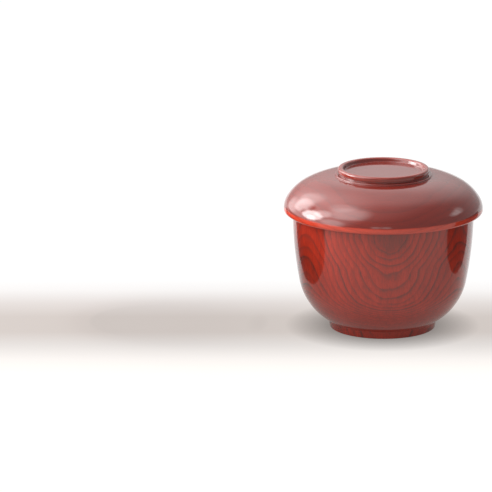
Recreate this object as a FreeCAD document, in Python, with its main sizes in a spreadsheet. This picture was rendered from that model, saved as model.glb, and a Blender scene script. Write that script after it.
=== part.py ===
"""Lidded rice bowl, turned from two blocks of wood and lacquered. A FreeCAD macro, in millimetres.

The real object is two loose pieces:
  bowl  a deep, nearly upright cup on a low foot ring, with a hollow under the foot
  lid   a low dome that overhangs the bowl, with a turned ring on top to hold it by and a tongue
        underneath that drops into the bowl's mouth

Both are bodies of revolution about Z. The bowl stands on Z = 0 with its axis on Z. The lid is drawn
with Z = 0 on its seat, the flat that rests on the bowl's rim, and its Placement lifts it there.
"""

import FreeCAD, Part
import math
import os

import Sketcher

V = FreeCAD.Vector

# alias, value in mm, what it is
SIZES = [
    ("bowl_height", 67.8, "foot to rim"),
    ("rim_radius", 51.8, "outside of the bowl at its rim, its widest"),
    ("wall_curve", 211.0, "radius of the upper wall's outside curve"),
    ("belly_curve", 33.8, "radius of the belly's outside curve"),
    ("under_curve", 60.0, "radius of the curve from the belly to the foot"),
    ("belly_top", 27.7, "height where the wall runs into the belly"),
    ("belly_end", 6.7, "height where the belly runs into the underside"),
    ("foot_radius", 31.0, "outside of the foot where it meets the belly"),
    ("foot_stand_radius", 30.3, "outside of the foot at the table"),
    ("foot_hollow_radius", 26.6, "inside of the foot ring at the table"),
    ("foot_hollow_top_radius", 25.8, "inside of the foot ring at the top of its hollow"),
    ("foot_hollow_depth", 2.8, "hollow under the foot"),
    ("mouth_radius", 48.4, "inside of the bowl at its rim"),
    ("inner_wall_curve", 207.0, "radius of the inner wall's curve"),
    ("inner_belly_curve", 28.0, "radius of the inner belly's curve"),
    ("inner_belly_top", 31.0, "height where the inner wall runs into the inner belly"),
    ("inner_floor", 7.2, "height of the lowest point inside"),
    ("rim_round", 1.15, "rounding of both rim edges"),
    ("foot_round", 0.6, "rounding of the foot's standing edges"),
    ("foot_corner", 0.35, "rounding of the corner between belly and foot"),
    ("seat_gap", 0.1, "room left between rim and seat"),
    ("lid_radius", 57.0, "outside of the lid, its widest"),
    ("lid_edge_height", 1.6, "height of the lid's widest line over its seat"),
    ("lid_corner_radius", 55.8, "outer edge of the lid's underside"),
    ("shoulder_curve", 11.4, "radius of the lid's curve next to its edge"),
    ("crown_curve", 24.3, "radius of the lid's middle curve"),
    ("top_curve", 42.0, "radius of the lid's curve next to its ring"),
    ("shoulder_end", 7.8, "height where shoulder runs into crown"),
    ("crown_end", 15.9, "height where crown runs into top"),
    ("lid_corner_round", 0.4, "rounding of the lid's lower edge"),
    ("bead_radius", 27.7, "outside of the bead at the foot of the lid's ring"),
    ("bead_height", 21.9, "top of the bead over the seat"),
    ("neck_radius", 25.5, "outside of the ring's neck, over the bead"),
    ("lip_radius", 26.1, "outside of the ring's lip"),
    ("lip_height", 23.1, "underside of the lip over the seat"),
    ("ring_height", 25.6, "top of the ring over the seat"),
    ("ring_inside_radius", 23.2, "inside of the ring at its top"),
    ("ring_floor_radius", 22.3, "inside of the ring at its floor"),
    ("ring_floor", 23.4, "height of the ring's floor over the seat"),
    ("lip_round", 1.25, "rounding of the ring's top edges"),
    ("lip_under_round", 0.45, "rounding of the lip's lower edge"),
    ("bead_round", 0.55, "rounding of the bead"),
    ("ring_floor_round", 0.7, "rounding of the corner inside the ring"),
    ("tongue_radius", 47.8, "outside of the tongue, loose in the bowl's mouth"),
    ("tongue_depth", 3.0, "how far the tongue drops below the seat"),
    ("tongue_round", 0.8, "rounding of the tongue's lower edges"),
    ("lid_hollow_radius", 45.4, "inside of the tongue, and of the lid's hollow"),
    ("cove_height", 5.0, "height where the hollow's wall begins to curve in"),
    ("cove_curve", 10.0, "radius of that curve"),
    ("hollow_height", 18.6, "highest point of the lid's hollow over the seat"),
]

OVERLAP = 0.5  # how far one revolved blank reaches into the next, so that they join cleanly


def make_sheet(doc):
    """Spreadsheet with one named cell for each driving size."""
    sheet = doc.addObject("Spreadsheet::Sheet", "sizes")
    for row, (alias, value, note) in enumerate(SIZES, start=1):
        sheet.set(f"A{row}", alias)
        sheet.set(f"B{row}", str(value))
        sheet.set(f"C{row}", note)
        sheet.setAlias(f"B{row}", alias)
    doc.recompute()
    return sheet


doc = FreeCAD.newDocument("rice_bowl")
sheet = make_sheet(doc)


def size(alias):
    return float(getattr(sheet, alias))


class Outline:
    """A closed profile in a sketch on a body's XZ plane, drawn point by point as (radius, height)."""

    START, END, CENTRE = 1, 2, 3
    ORIGIN, AXIS = -1, -2

    def __init__(self, body, name, start):
        self.sketch = body.newObject("Sketcher::SketchObject", name)
        plane = next(f for f in body.Origin.OriginFeatures if f.Role == "XZ_Plane")
        self.sketch.AttachmentSupport = (plane, [""])
        self.sketch.MapMode = "FlatFace"
        self.first = self.at = start
        self.pieces = []  # (geometry index, end the pen came in by, end it left by)

    def line(self, r, z):
        """Straight run to (r, z)."""
        new = Part.LineSegment(V(*self.at, 0), V(r, z, 0))
        self._join(self.sketch.addGeometry(new, False), self.START, self.END)
        self.at = (r, z)
        return len(self.pieces) - 1

    def arc(self, r, z, centre, clockwise, smooth=False):
        """Arc about centre to (r, z). A smooth arc is tangent to the piece before it."""
        circle = Part.Circle(V(*centre, 0), V(0, 0, 1), math.dist(self.at, centre))
        begin = math.atan2(self.at[1] - centre[1], self.at[0] - centre[0])
        end = math.atan2(z - centre[1], r - centre[0])
        if clockwise:
            index = self.sketch.addGeometry(Part.ArcOfCircle(circle, end, begin), False)
            self._join(index, self.END, self.START, smooth)
        else:
            index = self.sketch.addGeometry(Part.ArcOfCircle(circle, begin, end), False)
            self._join(index, self.START, self.END, smooth)
        self.at = (r, z)
        return len(self.pieces) - 1

    def _join(self, index, came, left, smooth=False):
        if self.pieces:
            before, _, end = self.pieces[-1]
            kind = "Tangent" if smooth else "Coincident"
            self._constrain(kind, before, end, index, came)
        self.pieces.append((index, came, left))

    def close(self):
        """Last run, back to the first point."""
        self.line(*self.first)
        last, _, end = self.pieces[-1]
        first, start, _ = self.pieces[0]
        self._constrain("Coincident", last, end, first, start)

    def _constrain(self, *what):
        return self.sketch.addConstraint(Sketcher.Constraint(*what))

    def _bind(self, constraint, expression):
        name = f"{self.sketch.Name}_{constraint}"
        self.sketch.renameConstraint(constraint, name)
        self.sketch.setExpression(f"Constraints.{name}", expression)

    def radius(self, piece, expression):
        """Arc's radius from the sheet."""
        index = self.pieces[piece][0]
        now = self.sketch.Geometry[index].Radius
        self._bind(self._constrain("Radius", index, now), expression)

    def end_radius(self, piece, expression):
        """Distance from the axis of the point where a piece ends, from the sheet."""
        self._bind(self._distance("DistanceX", piece, "x"), expression)

    def end_height(self, piece, expression):
        """Height of the point where a piece ends, from the sheet."""
        self._bind(self._distance("DistanceY", piece, "y"), expression)

    def _distance(self, kind, piece, coordinate):
        index, _, end = self.pieces[piece]
        now = getattr(self.sketch.getPoint(index, end), coordinate)
        return self._constrain(kind, self.ORIGIN, self.START, index, end, now)

    def end_on_axis(self, piece):
        index, _, end = self.pieces[piece]
        self._constrain("PointOnObject", index, end, self.AXIS)

    def centre_on_axis(self, piece):
        self._constrain("PointOnObject", self.pieces[piece][0], self.CENTRE, self.AXIS)

    def upright_at_start(self, piece):
        """The arc is upright where it starts: its centre is level with that point."""
        index, start, _ = self.pieces[piece]
        self._constrain("Horizontal", index, start, index, self.CENTRE)

    def upright_at_end(self, piece):
        index, _, end = self.pieces[piece]
        self._constrain("Horizontal", index, end, index, self.CENTRE)

    def level(self, piece):
        self._constrain("Horizontal", self.pieces[piece][0])

    def upright(self, piece):
        self._constrain("Vertical", self.pieces[piece][0])


def revolve(body, outline, name, cut=False):
    """Turns an outline round the axis, as added wood or as a cut."""
    before = body.Tip.Shape.Volume if cut else 0.0
    turned = body.newObject("PartDesign::Groove" if cut else "PartDesign::Revolution", name)
    turned.Profile = outline.sketch
    turned.ReferenceAxis = (outline.sketch, ["V_Axis"])
    turned.Angle = 360.0
    doc.recompute()
    if cut and turned.Shape.Volume >= before - 1.0:
        raise RuntimeError(f"{name} cuts nothing")
    return turned


def fillet(body, name, rings, expression):
    """Rounds the circular edges at the given (radius, height) places."""
    base = body.Tip
    names = []
    for r, z in rings:
        near = [
            f"Edge{n}"
            for n, edge in enumerate(base.Shape.Edges, start=1)
            if not edge.Degenerated
            and isinstance(edge.Curve, Part.Circle)
            and math.dist((edge.Curve.Radius, edge.Curve.Center.z), (r, z)) < 0.02
        ]
        if not near:
            raise RuntimeError(f"{name}: no edge at radius {r}, height {z}")
        names += near
    rounded = body.newObject("PartDesign::Fillet", name)
    rounded.Base = (base, names)
    rounded.setExpression("Radius", expression)
    doc.recompute()
    return rounded


def corner_on(outline, piece):
    """(radius, height) of the solved end of a piece, for finding the edge it makes."""
    index, _, end = outline.pieces[piece]
    point = outline.sketch.getPoint(index, end)
    return point.x, point.y


def curve_down(start, centre_radius, radius, end_height):
    """End, centre and slope of an arc that is upright at start and runs down to end_height."""
    centre = (centre_radius, start[1])
    slope = math.asin((start[1] - end_height) / radius)
    return (centre[0] + radius * math.cos(slope), end_height), centre, slope


def tangent_centre(point, slope, radius, downward):
    """Centre of an arc that carries on from point, where the outline leans in by slope."""
    rise = radius * math.sin(slope)
    return (
        point[0] - radius * math.cos(slope),
        point[1] + rise if downward else point[1] - rise,
    )


def make_bowl():
    """Cup on a foot ring: blank, inside, hollow under the foot, then rounded edges."""
    body = doc.addObject("PartDesign::Body", "bowl")
    body.Label = "bowl"
    height = size("bowl_height")

    rim = (size("rim_radius"), height)
    wall_end, wall_centre, slope = curve_down(
        rim, rim[0] - size("wall_curve"), size("wall_curve"), size("belly_top")
    )
    belly_centre = tangent_centre(wall_end, slope, size("belly_curve"), downward=True)
    slope = math.asin((belly_centre[1] - size("belly_end")) / size("belly_curve"))
    belly_end = (belly_centre[0] + size("belly_curve") * math.cos(slope), size("belly_end"))
    under_centre = tangent_centre(belly_end, slope, size("under_curve"), downward=True)
    reach = size("foot_radius") - under_centre[0]
    foot_top = (
        size("foot_radius"),
        under_centre[1] - math.sqrt(size("under_curve") ** 2 - reach**2),
    )
    outside = Outline(body, "bowl_outside", (0, height))
    top = outside.line(*rim)
    wall = outside.arc(*wall_end, wall_centre, clockwise=True)
    belly = outside.arc(*belly_end, belly_centre, clockwise=True, smooth=True)
    under = outside.arc(*foot_top, under_centre, clockwise=True, smooth=True)
    foot = outside.line(size("foot_stand_radius"), 0)
    base = outside.line(0, 0)
    outside.close()
    outside.level(top)
    outside.end_radius(top, "sizes.rim_radius")
    outside.end_height(top, "sizes.bowl_height")
    outside.upright_at_start(wall)
    outside.radius(wall, "sizes.wall_curve")
    outside.end_height(wall, "sizes.belly_top")
    outside.radius(belly, "sizes.belly_curve")
    outside.end_height(belly, "sizes.belly_end")
    outside.radius(under, "sizes.under_curve")
    outside.end_radius(under, "sizes.foot_radius")
    outside.end_radius(foot, "sizes.foot_stand_radius")
    outside.level(base)
    outside._constrain("Coincident", outside.pieces[base][0], 2, Outline.ORIGIN, 1)
    outside.upright(base + 1)
    revolve(body, outside, "bowl_blank")

    mouth = (size("mouth_radius"), height)
    wall_end, wall_centre, slope = curve_down(
        mouth, mouth[0] - size("inner_wall_curve"), size("inner_wall_curve"), size("inner_belly_top")
    )
    belly_centre = tangent_centre(wall_end, slope, size("inner_belly_curve"), downward=True)
    spare = belly_centre[1] - size("inner_floor") - size("inner_belly_curve")
    slope = math.pi / 2 - 2 * math.atan(spare / belly_centre[0])
    floor_curve = size("inner_belly_curve") + belly_centre[0] / math.cos(slope)
    belly_end = (
        belly_centre[0] + size("inner_belly_curve") * math.cos(slope),
        belly_centre[1] - size("inner_belly_curve") * math.sin(slope),
    )
    inside = Outline(body, "bowl_inside", (0, height + OVERLAP))
    top = inside.line(mouth[0], height + OVERLAP)
    drop = inside.line(*mouth)
    wall = inside.arc(*wall_end, wall_centre, clockwise=True)
    belly = inside.arc(*belly_end, belly_centre, clockwise=True, smooth=True)
    floor = inside.arc(
        0, size("inner_floor"), (0, size("inner_floor") + floor_curve), clockwise=True, smooth=True
    )
    inside.close()
    inside.level(top)
    inside.end_height(top, f"sizes.bowl_height + {OVERLAP}")
    inside.upright(drop)
    inside.end_radius(drop, "sizes.mouth_radius")
    inside.end_height(drop, "sizes.bowl_height")
    inside.upright_at_start(wall)
    inside.radius(wall, "sizes.inner_wall_curve")
    inside.end_height(wall, "sizes.inner_belly_top")
    inside.radius(belly, "sizes.inner_belly_curve")
    inside.centre_on_axis(floor)
    inside.end_on_axis(floor)
    inside.end_height(floor, "sizes.inner_floor")
    inside.upright(floor + 1)
    revolve(body, inside, "bowl_cavity", cut=True)

    hollow = Outline(body, "foot_hollow", (0, -OVERLAP))
    below = hollow.line(size("foot_hollow_radius"), -OVERLAP)
    stand = hollow.line(size("foot_hollow_radius"), 0)
    side = hollow.line(size("foot_hollow_top_radius"), size("foot_hollow_depth"))
    roof = hollow.line(0, size("foot_hollow_depth"))
    hollow.close()
    hollow.level(below)
    hollow.end_height(below, f"-{OVERLAP}")
    hollow.upright(stand)
    hollow.end_radius(stand, "sizes.foot_hollow_radius")
    hollow.end_height(stand, "0 * sizes.foot_hollow_depth")
    hollow.end_radius(side, "sizes.foot_hollow_top_radius")
    hollow.end_height(side, "sizes.foot_hollow_depth")
    hollow.level(roof)
    hollow.end_on_axis(roof)
    hollow.upright(roof + 1)
    revolve(body, hollow, "foot_hollow_cut", cut=True)

    fillet(body, "rim_edges", [rim, mouth], "sizes.rim_round")
    stand_edges = [(size("foot_stand_radius"), 0), (size("foot_hollow_radius"), 0)]
    fillet(body, "foot_edges", stand_edges, "sizes.foot_round")
    hollow_corner = (size("foot_hollow_top_radius"), size("foot_hollow_depth"))
    fillet(body, "foot_hollow_corner", [hollow_corner], "sizes.foot_round")
    fillet(body, "foot_top_corner", [corner_on(outside, under)], "sizes.foot_corner")
    return body


def make_lid():
    """Dome with a ring on top and a tongue below: blank, ring, tongue, hollow, rounded edges."""
    body = doc.addObject("PartDesign::Body", "lid")
    body.Label = "lid"

    corner = (size("lid_corner_radius"), 0.0)
    widest = (size("lid_radius"), size("lid_edge_height"))
    overhang = widest[0] - corner[0]
    edge_curve = (overhang**2 + widest[1] ** 2) / (2 * overhang)
    shoulder_centre = (widest[0] - size("shoulder_curve"), widest[1])
    slope = math.asin((size("shoulder_end") - widest[1]) / size("shoulder_curve"))
    shoulder_end = (
        shoulder_centre[0] + size("shoulder_curve") * math.cos(slope),
        size("shoulder_end"),
    )
    crown_centre = tangent_centre(shoulder_end, slope, size("crown_curve"), downward=False)
    slope = math.asin((size("crown_end") - crown_centre[1]) / size("crown_curve"))
    crown_end = (crown_centre[0] + size("crown_curve") * math.cos(slope), size("crown_end"))
    top_centre = tangent_centre(crown_end, slope, size("top_curve"), downward=False)
    reach = size("bead_radius") - top_centre[0]
    top_end = (size("bead_radius"), top_centre[1] + math.sqrt(size("top_curve") ** 2 - reach**2))
    dome = Outline(body, "lid_outside", (0, 0))
    seat = dome.line(*corner)
    edge = dome.arc(*widest, (widest[0] - edge_curve, widest[1]), clockwise=False)
    shoulder = dome.arc(*shoulder_end, shoulder_centre, clockwise=False, smooth=True)
    crown = dome.arc(*crown_end, crown_centre, clockwise=False, smooth=True)
    top = dome.arc(*top_end, top_centre, clockwise=False, smooth=True)
    flat = dome.line(0, top_end[1])
    dome.close()
    dome._constrain("Coincident", dome.pieces[seat][0], 1, Outline.ORIGIN, 1)
    dome.level(seat)
    dome.end_radius(seat, "sizes.lid_corner_radius")
    dome.upright_at_end(edge)
    dome.end_radius(edge, "sizes.lid_radius")
    dome.end_height(edge, "sizes.lid_edge_height")
    dome.radius(shoulder, "sizes.shoulder_curve")
    dome.end_height(shoulder, "sizes.shoulder_end")
    dome.radius(crown, "sizes.crown_curve")
    dome.end_height(crown, "sizes.crown_end")
    dome.radius(top, "sizes.top_curve")
    dome.end_radius(top, "sizes.bead_radius")
    dome.level(flat)
    dome.upright(flat + 1)
    revolve(body, dome, "lid_blank")

    root = top_end[1] - OVERLAP
    ring = Outline(body, "ring_outline", (0, root))
    buried = ring.line(size("bead_radius"), root)
    bead = ring.line(size("bead_radius"), size("bead_height"))
    quirk = ring.line(size("neck_radius"), size("bead_height"))
    neck = ring.line(size("neck_radius"), size("lip_height"))
    under = ring.line(size("lip_radius"), size("lip_height"))
    lip = ring.line(size("lip_radius"), size("ring_height"))
    crest = ring.line(size("ring_inside_radius"), size("ring_height"))
    inner = ring.line(size("ring_floor_radius"), size("ring_floor"))
    floor = ring.line(0, size("ring_floor"))
    ring.close()
    ring.level(buried)
    ring.end_height(buried, f"sizes.bead_height - {size('bead_height') - root}")
    ring.upright(bead)
    ring.end_radius(bead, "sizes.bead_radius")
    ring.end_height(bead, "sizes.bead_height")
    ring.level(quirk)
    ring.end_radius(quirk, "sizes.neck_radius")
    ring.upright(neck)
    ring.end_height(neck, "sizes.lip_height")
    ring.level(under)
    ring.end_radius(under, "sizes.lip_radius")
    ring.upright(lip)
    ring.end_height(lip, "sizes.ring_height")
    ring.level(crest)
    ring.end_radius(crest, "sizes.ring_inside_radius")
    ring.end_radius(inner, "sizes.ring_floor_radius")
    ring.end_height(inner, "sizes.ring_floor")
    ring.level(floor)
    ring.end_on_axis(floor)
    ring.upright(floor + 1)
    revolve(body, ring, "lid_ring")

    tongue = Outline(body, "tongue_outline", (size("lid_hollow_radius"), OVERLAP))
    bury = tongue.line(size("tongue_radius"), OVERLAP)
    outer = tongue.line(size("tongue_radius"), -size("tongue_depth"))
    tip = tongue.line(size("lid_hollow_radius"), -size("tongue_depth"))
    tongue.close()
    tongue.level(bury)
    tongue.end_height(bury, f"{OVERLAP}")
    tongue.upright(outer)
    tongue.end_radius(outer, "sizes.tongue_radius")
    tongue.end_height(outer, "-sizes.tongue_depth")
    tongue.level(tip)
    tongue.end_radius(tip, "sizes.lid_hollow_radius")
    tongue.upright(tip + 1)
    revolve(body, tongue, "lid_tongue")

    cove_start = (size("lid_hollow_radius"), size("cove_height"))
    cove_centre = (cove_start[0] - size("cove_curve"), cove_start[1])
    spare = size("hollow_height") - cove_centre[1] - size("cove_curve")
    slope = math.pi / 2 - 2 * math.atan(spare / cove_centre[0])
    roof_curve = size("cove_curve") + cove_centre[0] / math.cos(slope)
    cove_end = (
        cove_centre[0] + size("cove_curve") * math.cos(slope),
        cove_centre[1] + size("cove_curve") * math.sin(slope),
    )
    mouth_level = -size("tongue_depth") - OVERLAP
    inside = Outline(body, "lid_inside", (0, mouth_level))
    below = inside.line(cove_start[0], mouth_level)
    side = inside.line(*cove_start)
    cove = inside.arc(*cove_end, cove_centre, clockwise=False)
    roof = inside.arc(
        0,
        size("hollow_height"),
        (0, size("hollow_height") - roof_curve),
        clockwise=False,
        smooth=True,
    )
    inside.close()
    inside.level(below)
    inside.end_height(below, f"-sizes.tongue_depth - {OVERLAP}")
    inside.upright(side)
    inside.end_radius(side, "sizes.lid_hollow_radius")
    inside.end_height(side, "sizes.cove_height")
    inside.upright_at_start(cove)
    inside.radius(cove, "sizes.cove_curve")
    inside.centre_on_axis(roof)
    inside.end_on_axis(roof)
    inside.end_height(roof, "sizes.hollow_height")
    inside.upright(roof + 1)
    revolve(body, inside, "lid_hollow", cut=True)

    fillet(body, "lid_lower_edge", [corner], "sizes.lid_corner_round")
    tongue_edges = [(size("tongue_radius"), -size("tongue_depth"))]
    tongue_edges.append((size("lid_hollow_radius"), -size("tongue_depth")))
    fillet(body, "tongue_edges", tongue_edges, "sizes.tongue_round")
    crest_edges = [(size("lip_radius"), size("ring_height"))]
    crest_edges.append((size("ring_inside_radius"), size("ring_height")))
    fillet(body, "ring_crest", crest_edges, "sizes.lip_round")
    lip_edge = (size("lip_radius"), size("lip_height"))
    fillet(body, "lip_lower_edge", [lip_edge], "sizes.lip_under_round")
    bead_edge = (size("bead_radius"), size("bead_height"))
    fillet(body, "bead_edge", [bead_edge], "sizes.bead_round")
    floor_corner = (size("ring_floor_radius"), size("ring_floor"))
    fillet(body, "ring_floor_corner", [floor_corner], "sizes.ring_floor_round")

    body.setExpression("Placement.Base.z", "sizes.bowl_height + sizes.seat_gap")
    return body


def check(parts):
    """Stops the build if any object failed or any piece isn't one valid solid."""
    doc.recompute()
    for item in doc.Objects:
        if "Invalid" in item.State or "Error" in item.State:
            raise RuntimeError(f"{item.Name} failed: {item.State}")
        if item.TypeId == "Sketcher::SketchObject" and item.solve() != 0:
            raise RuntimeError(f"sketch {item.Name} can't be solved")
    for part in parts:
        shape = part.Shape
        if shape.isNull() or not shape.isValid() or len(shape.Solids) != 1:
            raise RuntimeError(f"{part.Label} isn't one valid solid")
    if parts[0].Shape.common(parts[1].Shape).Volume > 0:
        raise RuntimeError("bowl and lid overlap")


parts = [make_bowl(), make_lid()]
check(parts)
os.makedirs("parts", exist_ok=True)
for part in parts:
    part.Shape.exportStep(os.path.join("parts", f"{part.Label}.step"))
    box = part.Shape.optimalBoundingBox(False)
    print(
        f"{part.Label}: {part.Shape.Volume / 1000:.1f} cm3, "
        f"radius {box.XMax:.2f}, height {box.ZMin:.2f} to {box.ZMax:.2f} mm"
    )
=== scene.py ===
import math

import bpy
import numpy as np
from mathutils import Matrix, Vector


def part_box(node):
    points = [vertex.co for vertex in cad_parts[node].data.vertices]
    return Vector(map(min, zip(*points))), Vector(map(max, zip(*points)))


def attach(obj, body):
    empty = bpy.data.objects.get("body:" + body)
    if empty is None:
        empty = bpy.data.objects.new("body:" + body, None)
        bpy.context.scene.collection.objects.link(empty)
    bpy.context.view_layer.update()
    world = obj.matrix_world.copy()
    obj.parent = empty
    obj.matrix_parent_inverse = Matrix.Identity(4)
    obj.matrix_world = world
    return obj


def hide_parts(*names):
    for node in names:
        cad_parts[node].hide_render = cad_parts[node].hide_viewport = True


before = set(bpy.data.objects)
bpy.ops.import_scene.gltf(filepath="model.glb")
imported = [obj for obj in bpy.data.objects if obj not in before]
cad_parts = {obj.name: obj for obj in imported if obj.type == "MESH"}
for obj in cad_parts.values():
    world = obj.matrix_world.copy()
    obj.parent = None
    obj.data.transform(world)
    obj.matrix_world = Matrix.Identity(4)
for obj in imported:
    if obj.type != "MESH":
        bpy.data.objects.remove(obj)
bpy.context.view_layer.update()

# The camera. It stands well back with a long lens, a little above the table, as for a page of a
# catalogue, and the lidded bowl stands right of the middle of the view.
LOOKING_DOWN = math.radians(14.5)
CAMERA_DISTANCE = 2.7
VIEW_WIDTH = 0.2823  # of the scene, at the bowl's axis
VIEW_CENTRE = Vector((-0.0786, 0.0, 0.0470))

camera = bpy.data.objects.new("camera", bpy.data.cameras.new("camera"))
bpy.context.collection.objects.link(camera)
back = Vector((0.0, -math.cos(LOOKING_DOWN), math.sin(LOOKING_DOWN)))
camera.location = VIEW_CENTRE + back * CAMERA_DISTANCE
camera.rotation_euler = (math.pi / 2 - LOOKING_DOWN, 0.0, 0.0)
camera.data.lens = camera.data.sensor_width * CAMERA_DISTANCE / VIEW_WIDTH
camera.data.clip_end = 20.0  # past the far edge of the table
bpy.context.scene.camera = camera
bpy.context.scene.view_settings.view_transform = "Standard"


# The bowl. One block of ring-porous wood, turned to a deep cup on a low foot ring, sanded, and
# finished with thin coats of clear red lacquer that let the grain show.
MM = 0.001
foot_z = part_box("bowl")[0].z
rim_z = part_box("bowl")[1].z


def bend(at, lean, radius, to_height, steps=40):
    """Run of a turned profile that curves in towards the axis. Its lean is its angle from upright.
    The height changes by radius * (sin lean - sin first lean), and the distance from the axis falls
    by radius * (cos first lean - cos lean). Gives the run's points and the lean at its end."""
    rise = to_height - at[1]
    last = math.asin(math.sin(lean) + abs(rise) / radius)
    leans = np.linspace(lean, last, steps)
    along = radius * (np.sin(leans) - math.sin(lean))
    r = at[0] - radius * (math.cos(lean) - np.cos(leans))
    z = at[1] + math.copysign(1.0, rise) * along
    return np.column_stack([r, z]), last


def straight(start, end, steps=14):
    """Straight run of a turned profile: the start plus an even share of the way to the end, closer
    together near both ends, where the rounded corners are."""
    share = (1.0 - np.cos(np.linspace(0.0, math.pi, steps))) / 2.0
    return np.asarray(start) + share[:, None] * (np.asarray(end) - np.asarray(start))


def trimmed(run, off_start, off_end):
    """The run with a length taken off each end: the points whose distance along it lies between,
    and a new point at each cut."""
    s = np.concatenate([[0.0], np.cumsum(np.hypot(*np.diff(run, axis=0).T))])
    first, last = off_start, s[-1] - off_end
    kept = s[(s > first + 1e-7) & (s < last - 1e-7)]
    s_new = np.concatenate([[first], kept, [last]])
    return np.column_stack([np.interp(s_new, s, run[:, 0]), np.interp(s_new, s, run[:, 1])])


def heading(a, b):
    return (b - a) / np.hypot(*(b - a))


def turned_profile(runs, rounds):
    """Joins runs end to start. Where two meet at an angle phi, a round of radius r takes
    r * tan(phi / 2) off both, and a cubic with handles of 4 / 3 * r * tan(phi / 4) bridges them."""
    turns = [
        math.acos(np.clip(heading(*a[-2:]) @ heading(*b[:2]), -1.0, 1.0))
        for a, b in zip(runs[:-1], runs[1:])
    ]
    cuts = [r * math.tan(turn / 2) for r, turn in zip(rounds, turns)]
    runs = [trimmed(run, a, b) for run, a, b in zip(runs, [0.0] + cuts, cuts + [0.0])]
    t = np.linspace(0.0, 1.0, 10)[1:-1, None]
    pieces = [runs[0]]
    for before, after, r, turn in zip(runs[:-1], runs[1:], rounds, turns):
        handle = 4 / 3 * r * math.tan(turn / 4)
        p0, p3 = before[-1], after[0]
        p1, p2 = p0 + handle * heading(*before[-2:]), p3 - handle * heading(*after[:2])
        curve = (1 - t) ** 3 * p0 + 3 * (1 - t) ** 2 * t * p1 + 3 * (1 - t) * t**2 * p2 + t**3 * p3
        pieces += [curve, after] if r > 0 else [after[1:]]
    return np.concatenate(pieces)


def turned(name, profile, segments=256):
    """Closed surface of revolution. Ring i, step j is at (r_i cos a_j, r_i sin a_j, z_i), with a_j even
    steps of a full turn. The profile starts and ends on the axis, and each end closes in a fan."""
    a = np.arange(segments) * (2 * math.pi / segments)
    r, z = profile[1:-1, 0], profile[1:-1, 1]
    rings = np.stack(
        [np.outer(r, np.cos(a)), np.outer(r, np.sin(a)), np.outer(z, np.ones(segments))], axis=-1
    )
    poles = [[0.0, 0.0, profile[0, 1]], [0.0, 0.0, profile[-1, 1]]]
    points = np.concatenate([rings.reshape(-1, 3), poles])
    j = np.arange(segments)
    j_next = (j + 1) % segments
    i = np.arange(len(r) - 1)[:, None] * segments
    quads = np.stack([i + j, i + j_next, i + segments + j_next, i + segments + j], axis=-1)
    last_ring = (len(r) - 1) * segments
    first_pole, last_pole = len(r) * segments, len(r) * segments + 1
    fans = np.concatenate(
        [
            np.column_stack([np.full(segments, first_pole), j_next, j]),
            np.column_stack([np.full(segments, last_pole), last_ring + j, last_ring + j_next]),
        ]
    )
    mesh = bpy.data.meshes.new(name)
    mesh.from_pydata(points.tolist(), [], quads.reshape(-1, 4).tolist() + fans.tolist())
    mesh.polygons.foreach_set("use_smooth", np.ones(len(mesh.polygons), dtype=bool))
    mesh.update()
    piece = bpy.data.objects.new(name, mesh)
    bpy.context.collection.objects.link(piece)
    return piece


RIM_RADIUS = 51.8 * MM
MOUTH_RADIUS = 48.4 * MM
FOOT_RADIUS = 31.0 * MM
FOOT_STAND_RADIUS = 30.3 * MM
FOOT_HOLLOW_RADIUS = 26.6 * MM
FOOT_HOLLOW_TOP_RADIUS = 25.8 * MM
FOOT_HOLLOW_DEPTH = 2.8 * MM
INNER_FLOOR = 7.2 * MM
WALL_CURVE, WALL_FOOT = 211.0 * MM, 27.7 * MM
BELLY_CURVE, BELLY_FOOT = 33.8 * MM, 6.7 * MM
UNDER_CURVE = 60.0 * MM
INNER_WALL_CURVE, INNER_WALL_FOOT = 207.0 * MM, 31.0 * MM
INNER_BELLY_CURVE = 28.0 * MM
RIM_ROUND = 1.15 * MM
FOOT_ROUND = 0.6 * MM
FOOT_CORNER = 0.35 * MM

wall, lean = bend((RIM_RADIUS, rim_z), 0.0, WALL_CURVE, WALL_FOOT, steps=60)
belly, lean = bend(wall[-1], lean, BELLY_CURVE, BELLY_FOOT)
under_centre = belly[-1] - UNDER_CURVE * np.array([math.cos(lean), -math.sin(lean)])
foot_top = under_centre[1] - math.sqrt(UNDER_CURVE**2 - (FOOT_RADIUS - under_centre[0]) ** 2)
under, _ = bend(belly[-1], lean, UNDER_CURVE, foot_top, steps=16)

# inside, the floor is one wide arc that meets the belly's arc and lies level on the axis
inner_wall, inner_lean = bend(
    (MOUTH_RADIUS, rim_z), 0.0, INNER_WALL_CURVE, INNER_WALL_FOOT, steps=60
)
inner_centre = inner_wall[-1] + INNER_BELLY_CURVE * np.array(
    [-math.cos(inner_lean), math.sin(inner_lean)]
)
spare = inner_centre[1] - INNER_FLOOR - INNER_BELLY_CURVE
floor_lean = math.pi / 2 - 2 * math.atan(spare / inner_centre[0])
inner_belly_end = inner_centre[1] - INNER_BELLY_CURVE * math.sin(floor_lean)
inner_belly, _ = bend(inner_wall[-1], inner_lean, INNER_BELLY_CURVE, inner_belly_end)
floor_angles = np.linspace(floor_lean, math.pi / 2, 30)
FLOOR_CURVE = INNER_BELLY_CURVE + inner_centre[0] / math.cos(floor_lean)
inner_floor = np.column_stack(
    [
        FLOOR_CURVE * np.cos(floor_angles),
        INNER_FLOOR + FLOOR_CURVE * (1 - np.sin(floor_angles)),
    ]
)
inner_floor[-1, 0] = 0.0
hollow_top_z = foot_z + FOOT_HOLLOW_DEPTH
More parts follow.
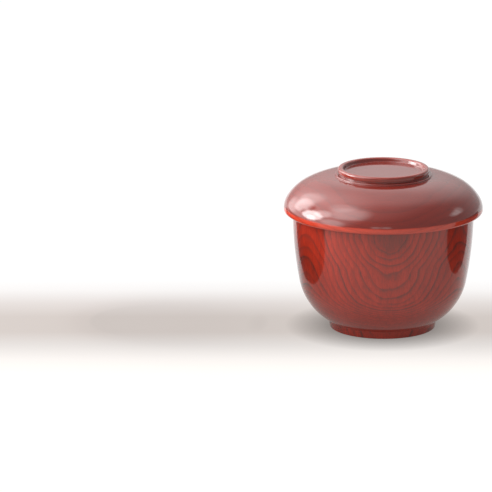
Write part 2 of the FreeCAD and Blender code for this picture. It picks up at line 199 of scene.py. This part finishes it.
bowl_profile = turned_profile(
    [
        straight((0.0, hollow_top_z), (FOOT_HOLLOW_TOP_RADIUS, hollow_top_z)),
        straight((FOOT_HOLLOW_TOP_RADIUS, hollow_top_z), (FOOT_HOLLOW_RADIUS, foot_z)),
        straight((FOOT_HOLLOW_RADIUS, foot_z), (FOOT_STAND_RADIUS, foot_z)),
        straight((FOOT_STAND_RADIUS, foot_z), (FOOT_RADIUS, foot_top)),
        under[::-1],
        belly[::-1],
        wall[::-1],
        straight((RIM_RADIUS, rim_z), (MOUTH_RADIUS, rim_z)),
        inner_wall,
        inner_belly,
        inner_floor,
    ],
    [FOOT_ROUND, FOOT_ROUND, FOOT_ROUND, FOOT_CORNER, 0.0, 0.0, RIM_ROUND, RIM_ROUND, 0.0, 0.0],
)
bowl = turned("bowl_turned", bowl_profile)


def node(tree, kind, inputs=None, **settings):
    """Adds a shader node, sets what is given, and links or fills its inputs."""
    made = tree.nodes.new(kind)
    for key, value in settings.items():
        setattr(made, key, value)
    for socket, value in (inputs or {}).items():
        if isinstance(value, bpy.types.NodeSocket):
            tree.links.new(value, made.inputs[socket])
        else:
            made.inputs[socket].default_value = value
    return made


def maths(tree, operation, a, b=0.0, c=0.0):
    return node(tree, "ShaderNodeMath", {0: a, 1: b, 2: c}, operation=operation).outputs[0]


def noise(tree, at, scale, detail=0.0, roughness=0.5):
    """Noise of about 0.5 +- 0.25 at a point, or at a number when at is one."""
    inputs = {"Scale": scale, "Detail": detail, "Roughness": roughness}
    number = at.type == "VALUE"
    made = node(tree, "ShaderNodeTexNoise", inputs, noise_dimensions="1D" if number else "3D")
    tree.links.new(at, made.inputs["W" if number else "Vector"])
    return made.outputs[0]


def stretched(tree, at, *scale):
    return node(tree, "ShaderNodeMapping", {"Vector": at, "Scale": scale}).outputs[0]


def ramp(tree, value, stops):
    """Colour ramp from (place, colour) stops, a colour being a number for a grey."""
    made = node(tree, "ShaderNodeValToRGB", {0: value})
    elements = made.color_ramp.elements
    while len(elements) < len(stops):
        elements.new(0.5)
    for element, (place, colour) in zip(elements, stops):
        element.position = place
        element.color = (*(colour if isinstance(colour, tuple) else [colour] * 3), 1.0)
    return made.outputs[0]


def smooth_between(tree, value, start, end):
    made = node(
        tree,
        "ShaderNodeMapRange",
        {0: value, "From Min": start, "From Max": end},
        interpolation_type="SMOOTHSTEP",
    )
    return made.outputs[0]


def length_of(tree, place, start=(0.0, 0.0, 0.0), scale=(1.0, 1.0, 1.0)):
    """Distance of a place from a start, after a scale on each axis."""
    away = node(tree, "ShaderNodeVectorMath", {0: place, 1: start}, operation="SUBTRACT").outputs[0]
    scaled = node(tree, "ShaderNodeVectorMath", {0: away, 1: scale}, operation="MULTIPLY").outputs[0]
    return node(tree, "ShaderNodeVectorMath", {0: scaled}, operation="LENGTH").outputs["Value"]


def lacquered_wood(name, growth, contrast, colours):
    """Ring-porous wood under clear red lacquer, as a solid. Growth counts the year rings at a place in
    the block, and every ring opens with a row of large pores, which take the lacquer darkest. The
    colours go from bare wood to pores, and the last is a lighter, brighter red that growth's lighter
    zone mixes in."""
    material = bpy.data.materials.new(name)
    material.use_nodes = True
    tree = material.node_tree
    tree.nodes.clear()
    place = node(tree, "ShaderNodeTexCoord").outputs["Object"]
    place, count, dusk, lighter_zone = growth(tree, place)
    through = maths(tree, "FRACT", count)
    ring = maths(tree, "FLOOR", count)
    strength = noise(tree, maths(tree, "ADD", ring, 0.37), 0.83)  # one value for each ring

    # the pore row, uneven along its length, and paler smaller pores after it
    ACROSS_A_RING = [
        (0.0, 0.6),
        (0.05, 1.0),
        (0.15, 0.7),
        (0.34, 0.25),
        (0.7, 0.0),
        (0.95, 0.05),
        (1.0, 0.6),
    ]
    pore_row = ramp(tree, through, ACROSS_A_RING)
    along = noise(tree, stretched(tree, place, 1.0, 1.0, 0.35), 260.0, 1.0)
    of_its_ring = maths(tree, "MULTIPLY_ADD", strength, 1.5, -0.52)
    row_strength = maths(tree, "MULTIPLY_ADD", along, 1.3, of_its_ring)
    row = maths(tree, "MULTIPLY", pore_row, row_strength)

    # fibres and single pores, drawn out along the trunk
    fibres = noise(tree, stretched(tree, place, 1.0, 1.0, 0.10), 1300.0, 1.5, 0.6)
    dashes = noise(tree, stretched(tree, place, 1.0, 1.0, 0.22), 1500.0)
    pores = smooth_between(tree, dashes, 0.60, 0.72)
    streaks = noise(tree, stretched(tree, place, 1.0, 1.0, 0.07), 330.0, 1.0)

    # how much each of them darkens the wood, and how dark it is without any
    ROWS, PORES, FIBRES, STREAKS, PLAIN = 0.50, 0.14, 0.50, 0.35, 0.22
    grain = maths(tree, "MULTIPLY", row, ROWS)
    grain = maths(tree, "MULTIPLY_ADD", pores, PORES, grain)
    grain = maths(tree, "MULTIPLY_ADD", maths(tree, "SUBTRACT", fibres, 0.5), FIBRES, grain)
    grain = maths(tree, "MULTIPLY_ADD", maths(tree, "SUBTRACT", streaks, 0.5), STREAKS, grain)
    dark = maths(tree, "MULTIPLY_ADD", grain, contrast, maths(tree, "ADD", dusk, PLAIN))
    COLOUR_PLACES = [0.0, 0.30, 0.65, 1.0]
    *solid, lighter_colour = colours
    colour = ramp(tree, dark, list(zip(COLOUR_PLACES, solid)))
    lighter_colour = node(
        tree,
        "ShaderNodeVectorMath",
        {0: lighter_colour, "Scale": maths(tree, "MULTIPLY_ADD", dark, -1.5, 1.35)},
        operation="SCALE",
    ).outputs[0]
    mixed = node(tree, "ShaderNodeMix", {0: lighter_zone, 6: colour, 7: lighter_colour}, data_type="RGBA")
    clouds = noise(tree, stretched(tree, place, 1.0, 1.0, 0.5), 26.0, 1.0)
    shade = maths(tree, "MULTIPLY_ADD", clouds, 0.40, 0.80)
    clouded = node(
        tree, "ShaderNodeVectorMath", {0: mixed.outputs[2], "Scale": shade}, operation="SCALE"
    )

    # the lacquer sinks a little into the pore rows and follows the fibres
    SINKING = {"Strength": 0.2, "Distance": 0.00005}
    relief = maths(tree, "MULTIPLY_ADD", fibres, 0.3, maths(tree, "MULTIPLY", row, -0.5))
    bump = node(tree, "ShaderNodeBump", {**SINKING, "Height": relief}).outputs[0]
    surface = node(
        tree,
        "ShaderNodeBsdfPrincipled",
        {
            "Base Color": clouded.outputs[0],
            "Roughness": 0.5,
            "Specular IOR Level": 0.06,
            "Coat Weight": 1.0,
            "Coat Roughness": 0.06,
            "Coat IOR": 1.5,
            "Normal": bump,
            "Coat Normal": bump,
        },
    )
    node(tree, "ShaderNodeOutputMaterial", {"Surface": surface.outputs[0]})
    return material


def bowl_growth(tree, place):
    """Rings of the bowl's block, in mm. They run round a pith behind the axis, flatter at both sides,
    and flare below. The count grows with a power of the distance inward from the outermost, so the
    outermost rings, which the front of the bowl cuts, are the narrowest."""
    PITH = (-0.001, 0.024, 0.0)
    FLARE_TOP, FLARE, FLARE_START = 46.0, 0.10, 4.0
    FLAT_AT, FLAT_SPREAD, FLATTENING, FLATTENING_RISE = 105.0, 27.5, 14.2, 90.0
    WAVER, DRIFT = 0.20, 0.30
    OUTERMOST, CROWDING, RINGS, FIRST_RING = 75.7, 0.73, 3.74, 20.35
    DUSK_WITHIN, DUSK = 0.45, 0.25
    split = node(tree, "ShaderNodeSeparateXYZ", {0: place})
    x, y, z = split.outputs
    distance = length_of(tree, place, PITH, (1000.0, 1000.0, 0.0))
    below = maths(tree, "MULTIPLY_ADD", z, -1000.0, FLARE_TOP)
    below = maths(tree, "SMOOTH_MAX", below, 0.0, FLARE_START)
    distance = maths(tree, "MULTIPLY_ADD", below, FLARE, distance)
    turn = maths(tree, "ABSOLUTE", maths(tree, "ARCTAN2", x, maths(tree, "MULTIPLY", y, -1.0)))
    off = maths(tree, "MULTIPLY_ADD", turn, 180.0 / math.pi, -FLAT_AT)
    off2 = maths(tree, "MULTIPLY", off, off)
    bell = maths(tree, "EXPONENT", maths(tree, "MULTIPLY", off2, -0.5 / FLAT_SPREAD**2))
    flattening = maths(tree, "MULTIPLY_ADD", z, FLATTENING_RISE, FLATTENING)
    distance = maths(tree, "MULTIPLY_ADD", bell, flattening, distance)
    waver = noise(tree, stretched(tree, place, 1.0, 1.0, 0.7), 170.0, 0.5)
    drift = noise(tree, stretched(tree, place, 1.0, 1.0, 0.6), 45.0)
    distance = maths(tree, "MULTIPLY_ADD", maths(tree, "SUBTRACT", waver, 0.5), WAVER, distance)
    distance = maths(tree, "MULTIPLY_ADD", maths(tree, "SUBTRACT", drift, 0.5), DRIFT, distance)
    inward = maths(tree, "MAXIMUM", maths(tree, "SUBTRACT", OUTERMOST, distance), 0.0)
    count = maths(tree, "POWER", inward, CROWDING)
    count = maths(tree, "MULTIPLY_ADD", count, RINGS, FIRST_RING)
    dusk = maths(tree, "MULTIPLY", smooth_between(tree, inward, DUSK_WITHIN, 0.0), DUSK)
    return place, count, dusk, 0.0


BOWL_COLOURS = [
    (0.300, 0.0215, 0.0085),
    (0.222, 0.0155, 0.0065),
    (0.135, 0.0155, 0.0092),
    (0.075, 0.0140, 0.0095),
    (0.330, 0.0240, 0.0100),
]
bowl.data.materials.append(lacquered_wood("bowl_lacquer", bowl_growth, 1.0, BOWL_COLOURS))
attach(bowl, "bowl")
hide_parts("bowl")


# The lid. A second block of the same wood, turned to a low dome that overhangs the rim, with a ring
# to hold it by and a tongue below that drops into the mouth, and lacquered like the bowl.
TONGUE_DEPTH = 3.0 * MM
seat_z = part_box("lid")[0].z + TONGUE_DEPTH
LID_RADIUS = 57.0 * MM
LID_CORNER_RADIUS = 55.8 * MM
EDGE_HEIGHT = 1.6 * MM
TONGUE_RADIUS = 47.8 * MM
LID_HOLLOW_RADIUS = 45.4 * MM
COVE_HEIGHT = 5.0 * MM
COVE_CURVE = 10.0 * MM
HOLLOW_HEIGHT = 18.6 * MM
BEAD_RADIUS, BEAD_HEIGHT = 27.7 * MM, 21.9 * MM
NECK_RADIUS, LIP_RADIUS, LIP_HEIGHT = 25.5 * MM, 26.1 * MM, 23.1 * MM
RING_HEIGHT, RING_INSIDE_RADIUS = 25.6 * MM, 23.2 * MM
RING_FLOOR_RADIUS, RING_FLOOR = 22.3 * MM, 23.4 * MM
LID_CORNER_ROUND, TONGUE_ROUND, LIP_ROUND = 0.4 * MM, 0.8 * MM, 1.25 * MM
LIP_UNDER_ROUND, BEAD_ROUND, RING_FLOOR_ROUND = 0.27 * MM, 0.55 * MM, 0.7 * MM
INNER_CORNER, NECK_CORNER = 0.15 * MM, 0.1 * MM
SHOULDER_CURVE, SHOULDER_TOP = 11.4 * MM, 7.8 * MM
CROWN_CURVE, CROWN_TOP = 24.3 * MM, 15.9 * MM
TOP_CURVE = 42.0 * MM

overhang = LID_RADIUS - LID_CORNER_RADIUS
EDGE_CURVE = (overhang**2 + EDGE_HEIGHT**2) / (2 * overhang)
widest = (LID_RADIUS, seat_z + EDGE_HEIGHT)
edge, _ = bend(widest, 0.0, EDGE_CURVE, seat_z, steps=20)
shoulder, lean = bend(widest, 0.0, SHOULDER_CURVE, seat_z + SHOULDER_TOP, steps=30)
crown, lean = bend(shoulder[-1], lean, CROWN_CURVE, seat_z + CROWN_TOP, steps=30)
top_centre = crown[-1] - TOP_CURVE * np.array([math.cos(lean), math.sin(lean)])
dome_top = top_centre[1] + math.sqrt(TOP_CURVE**2 - (BEAD_RADIUS - top_centre[0]) ** 2)
top, _ = bend(crown[-1], lean, TOP_CURVE, dome_top, steps=30)

cove_centre = np.array([LID_HOLLOW_RADIUS - COVE_CURVE, seat_z + COVE_HEIGHT])
spare = seat_z + HOLLOW_HEIGHT - cove_centre[1] - COVE_CURVE
roof_lean = math.pi / 2 - 2 * math.atan(spare / cove_centre[0])
cove_end = cove_centre[1] + COVE_CURVE * math.sin(roof_lean)
cove, _ = bend((LID_HOLLOW_RADIUS, cove_centre[1]), 0.0, COVE_CURVE, cove_end, steps=24)
ROOF_CURVE = COVE_CURVE + cove_centre[0] / math.cos(roof_lean)
roof_angles = np.linspace(roof_lean, math.pi / 2, 30)
roof = np.column_stack(
    [
        ROOF_CURVE * np.cos(roof_angles),
        seat_z + HOLLOW_HEIGHT - ROOF_CURVE * (1 - np.sin(roof_angles)),
    ]
)
roof[-1, 0] = 0.0


def at_seat(r, height):
    return (r, seat_z + height)


lid_profile = turned_profile(
    [
        roof[::-1],
        cove[::-1],
        straight(at_seat(LID_HOLLOW_RADIUS, COVE_HEIGHT), at_seat(LID_HOLLOW_RADIUS, -TONGUE_DEPTH)),
        straight(at_seat(LID_HOLLOW_RADIUS, -TONGUE_DEPTH), at_seat(TONGUE_RADIUS, -TONGUE_DEPTH)),
        straight(at_seat(TONGUE_RADIUS, -TONGUE_DEPTH), at_seat(TONGUE_RADIUS, 0.0)),
        straight(at_seat(TONGUE_RADIUS, 0.0), at_seat(LID_CORNER_RADIUS, 0.0)),
        edge[::-1],
        shoulder,
        crown,
        top,
        straight(at_seat(BEAD_RADIUS, dome_top - seat_z), at_seat(BEAD_RADIUS, BEAD_HEIGHT)),
        straight(at_seat(BEAD_RADIUS, BEAD_HEIGHT), at_seat(NECK_RADIUS, BEAD_HEIGHT)),
        straight(at_seat(NECK_RADIUS, BEAD_HEIGHT), at_seat(NECK_RADIUS, LIP_HEIGHT)),
        straight(at_seat(NECK_RADIUS, LIP_HEIGHT), at_seat(LIP_RADIUS, LIP_HEIGHT)),
        straight(at_seat(LIP_RADIUS, LIP_HEIGHT), at_seat(LIP_RADIUS, RING_HEIGHT)),
        straight(at_seat(LIP_RADIUS, RING_HEIGHT), at_seat(RING_INSIDE_RADIUS, RING_HEIGHT)),
        straight(at_seat(RING_INSIDE_RADIUS, RING_HEIGHT), at_seat(RING_FLOOR_RADIUS, RING_FLOOR)),
        straight(at_seat(RING_FLOOR_RADIUS, RING_FLOOR), at_seat(0.0, RING_FLOOR)),
    ],
    [
        0.0,
        0.0,
        TONGUE_ROUND,
        TONGUE_ROUND,
        INNER_CORNER,
        LID_CORNER_ROUND,
        0.0,
        0.0,
        0.0,
        INNER_CORNER,
        BEAD_ROUND,
        INNER_CORNER,
        NECK_CORNER,
        LIP_UNDER_ROUND,
        LIP_ROUND,
        LIP_ROUND,
        RING_FLOOR_ROUND,
    ],
)
lid = turned("lid_turned", lid_profile)


def lid_growth(tree, place):
    """Rings of the lid's block, in mm. The block is cut flat, its trunk from left to right and its pith
    far below, so that few rings come through the dome, and those wide apart."""
    TRUNK = (0.0, math.radians(90.0), math.radians(12.0))
    PITH = (-0.010, -0.015, 0.0)
    WAVER, RING_WIDTH = 2.0, 2.6
    block = node(tree, "ShaderNodeMapping", {"Vector": place, "Rotation": TRUNK}).outputs[0]
    distance = length_of(tree, block, PITH, (1000.0, 1000.0, 60.0))
    waver = noise(tree, stretched(tree, block, 1.0, 1.0, 0.4), 60.0, 1.0)
    distance = maths(tree, "MULTIPLY_ADD", waver, WAVER, distance)

    # lighter, brighter red in the edge band, and less on the ring's lip
    BAND_LOW, BAND_HIGH = seat_z + 3.0 * MM, seat_z + 3.9 * MM
    BAND_INNER, BAND_OUTER = 53.0 * MM, 54.5 * MM
    LIP_LOW, LIP_HIGH = seat_z + LIP_HEIGHT - 0.8 * MM, seat_z + LIP_HEIGHT
    LIP_INNER, LIP_OUTER = 22.8 * MM, 23.4 * MM
    LIP_SHARE = 0.25
    z = node(tree, "ShaderNodeSeparateXYZ", {0: place}).outputs[2]
    radius = length_of(tree, place, scale=(1.0, 1.0, 0.0))
    low = smooth_between(tree, z, BAND_HIGH, BAND_LOW)
    outer = smooth_between(tree, radius, BAND_INNER, BAND_OUTER)
    high = smooth_between(tree, z, LIP_LOW, LIP_HIGH)
    off_floor = smooth_between(tree, radius, LIP_INNER, LIP_OUTER)
    on_lip = maths(tree, "MULTIPLY", high, off_floor)
    lighter_zone = maths(tree, "MULTIPLY_ADD", on_lip, LIP_SHARE, maths(tree, "MULTIPLY", low, outer))
    return block, maths(tree, "DIVIDE", distance, RING_WIDTH), 0.0, lighter_zone


LID_COLOURS = [
    (0.165, 0.0120, 0.0058),
    (0.125, 0.0095, 0.0050),
    (0.080, 0.0085, 0.0055),
    (0.046, 0.0075, 0.0060),
    (0.360, 0.0300, 0.0120),
]
lid.data.materials.append(lacquered_wood("lid_lacquer", lid_growth, 0.35, LID_COLOURS))
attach(lid, "lid")
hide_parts("lid")


# The table: a sheet of white paper with painted shade, a little greyer in a band where the tableware
# stands, and darker still close round the foot. Its soft glow is painted light, standing in for light
# falling on the paper from all sides.
TABLE_REACH = 4.0
BAND_REACH = 0.15  # of the painted shade band, to the front and to the back
# painted shade: the paper's colour and glow are greyer across this band
PAINTED_SHADE_BAND = [
    (0.16, (1.08, 1.03, 0.98)),
    (0.26, (0.97, 0.93, 0.90)),
    (0.36, (0.80, 0.76, 0.735)),
    (0.45, (0.69, 0.63, 0.595)),
    (0.56, (0.69, 0.63, 0.595)),
    (0.66, (0.80, 0.75, 0.725)),
    (0.76, (0.95, 0.93, 0.92)),
    (0.86, 1.0),
]
# painted contact shade round the foot: within these radii the glow takes on ambient occlusion's
# darkening
FOOT_SHADE_INNER, FOOT_SHADE_OUTER, FOOT_SHADE, FOOT_SHADE_DEPTH = 0.060, 0.080, 0.7, 0.020
# painted light: the paper's glow stands in for the room's light falling on it
PAPER_COLOUR, PAINTED_PAPER_LIGHT = 0.06, 0.90

table_mesh = bpy.data.meshes.new("table")
corners = [(-1.0, -1.0), (1.0, -1.0), (1.0, 1.0), (-1.0, 1.0)]
table_mesh.from_pydata(
    [(x * TABLE_REACH, y * TABLE_REACH, 0.0) for x, y in corners], [], [(0, 1, 2, 3)]
)
table = bpy.data.objects.new("table", table_mesh)
bpy.context.collection.objects.link(table)
paper = bpy.data.materials.new("paper_with_painted_light")
paper.use_nodes = True
tree = paper.node_tree
tree.nodes.clear()
where = node(tree, "ShaderNodeTexCoord").outputs["Object"]
towards_back = node(tree, "ShaderNodeSeparateXYZ", {0: where}).outputs[1]
across_band = node(
    tree, "ShaderNodeMapRange", {0: towards_back, "From Min": -BAND_REACH, "From Max": BAND_REACH}
)
shaded_paper = ramp(tree, across_band.outputs[0], PAINTED_SHADE_BAND)
# painted shade round the foot, from ambient occlusion mixed into the glow
painted_foot_shade = smooth_between(tree, length_of(tree, where), FOOT_SHADE_OUTER, FOOT_SHADE_INNER)
painted_foot_shade = maths(tree, "MULTIPLY", painted_foot_shade, FOOT_SHADE)
contact_shade = node(
    tree, "ShaderNodeAmbientOcclusion", {"Color": shaded_paper, "Distance": FOOT_SHADE_DEPTH}, samples=8
).outputs["Color"]
# the glow's colour, painted light with the painted shade of the band and round the foot
painted_light_colour = node(
    tree, "ShaderNodeMix", {0: painted_foot_shade, 6: shaded_paper, 7: contact_shade}, data_type="RGBA"
).outputs[2]
dull = node(
    tree, "ShaderNodeVectorMath", {0: shaded_paper, "Scale": PAPER_COLOUR}, operation="SCALE"
).outputs[0]
paper_surface = node(
    tree,
    "ShaderNodeBsdfPrincipled",
    {
        "Base Color": dull,
        "Emission Color": painted_light_colour,
        "Emission Strength": PAINTED_PAPER_LIGHT,
        "Roughness": 0.9,
        "Specular IOR Level": 0.0,
    },
)
node(tree, "ShaderNodeOutputMaterial", {"Surface": paper_surface.outputs[0]})
table_mesh.materials.append(paper)


# Beside it on the table, hidden from the camera though not from the light: an open bowl at the left,
# and at the right a dark stand-in shaped as a narrower bowl, which is painted shade. Their reflections
# keep the wood there deep in colour. Neither is part of the object.
NEIGHBOUR_OUTLINE = [
    (0.0, 0.0),
    (40.0, 0.0),
    (42.0, 4.0),
    (58.0, 10.0),
    (66.0, 24.0),
    (68.0, 66.0),
    (60.0, 62.0),
    (0.0, 20.0),
]
NEIGHBOURS = [
    ("open_bowl", (-0.134, 0.008, 0.0005), 0.90, "deep_red", (0.22, 0.015, 0.007, 1.0)),
    # the dark stand-in at the right: painted shade in the gloss of the bowl's right side
    ("dark_shade_stand_in", (0.152, 0.012, 0.0005), 0.80, "shade_stand_in_red", (0.06, 0.012, 0.01, 1.0)),
]
for name, place, narrowing, colour_name, colour in NEIGHBOURS:
    neighbour = turned("stage_" + name, np.array(NEIGHBOUR_OUTLINE) * MM, segments=64)
    neighbour.location = place
    neighbour.scale = (narrowing, narrowing, 1.0)
    red = bpy.data.materials.new(colour_name)
    red.use_nodes = True
    red.node_tree.nodes["Principled BSDF"].inputs["Base Color"].default_value = colour
    neighbour.data.materials.append(red)
    neighbour.visible_camera = False


# The light: a tall window with thin curtains at the left, which is by far the brightest, and round
# it a pale room, lightest behind the bowl and darkest above the camera.
room = bpy.data.worlds.new("room")
bpy.context.scene.world = room
room.use_nodes = True
tree = room.node_tree
tree.nodes.clear()
direction = node(tree, "ShaderNodeTexCoord").outputs["Generated"]


def towards(azimuth, elevation):
    """Unit vector: azimuth from the camera's side round to the right, elevation above the table."""
    a, e = math.radians(azimuth), math.radians(elevation)
    return (math.sin(a) * math.cos(e), -math.cos(a) * math.cos(e), math.sin(e))


def glow(azimuth, elevation, inner, outer):
    """One within the inner angle of a direction, fading smoothly to none at the outer. It works
    with the cosine of the angle, which is the dot product of the two unit vectors."""
    cosine = node(
        tree,
        "ShaderNodeVectorMath",
        {0: direction, 1: towards(azimuth, elevation)},
        operation="DOT_PRODUCT",
    ).outputs["Value"]
    at_outer, at_inner = math.cos(math.radians(outer)), math.cos(math.radians(inner))
    return smooth_between(tree, cosine, at_outer, at_inner)


# azimuth, elevation, inner angle, outer angle, brightness
GLOWS = [
    (182.0, 48.0, 10.0, 45.0, 0.90),  # the ceiling behind
    (-95.0, 75.0, 8.0, 50.0, 0.7),  # the ceiling over the window
    (-98.0, 28.0, 22.0, 62.0, 2.5),  # the window's curtain
    (-98.0, 21.0, 12.0, 18.0, 13.5),  # the bright sky through its middle
    (-96.0, 16.0, 3.0, 9.0, 8.0),
    (-91.0, 36.0, 4.0, 13.0, 6.0),
    (-94.0, 8.0, 3.0, 9.0, 4.0),
    (-127.0, 26.0, 7.0, 16.0, 4.6),  # panes beside it
    (-138.0, 8.0, 5.0, 16.0, 1.8),
    (-139.0, 34.0, 6.0, 16.0, 2.0),
    (-100.0, 62.0, 5.0, 14.0, 2.0),
    (-64.0, 56.0, 6.0, 24.0, 3.6),
    (-64.0, 14.0, 6.0, 20.0, 3.6),
    (-116.0, 22.0, 1.0, 7.0, -4.0),  # the post between them
    (-115.0, 34.0, 1.0, 7.0, -3.0),
    (98.0, 28.0, 1.0, 8.0, 1.7),  # small lamps at the right and beside the camera
    (105.0, 29.0, 1.0, 8.0, 1.7),
    (112.0, 29.0, 1.0, 8.0, 1.3),
    (-10.0, 11.0, 1.0, 8.0, 2.2),
    (2.0, 11.0, 1.0, 8.0, 2.2),
]
ROOM_LEVEL = 0.72
level = ROOM_LEVEL
for *lobe, brightness in GLOWS:
    level = maths(tree, "MULTIPLY_ADD", glow(*lobe), brightness, level)
pale = node(tree, "ShaderNodeBackground", {"Strength": level}).outputs[0]
plain = node(tree, "ShaderNodeBackground").outputs[0]
seen_directly = node(tree, "ShaderNodeLightPath").outputs["Is Camera Ray"]
sky = node(tree, "ShaderNodeMixShader", {0: seen_directly, 1: pale, 2: plain}).outputs[0]
node(tree, "ShaderNodeOutputWorld", {"Surface": sky})
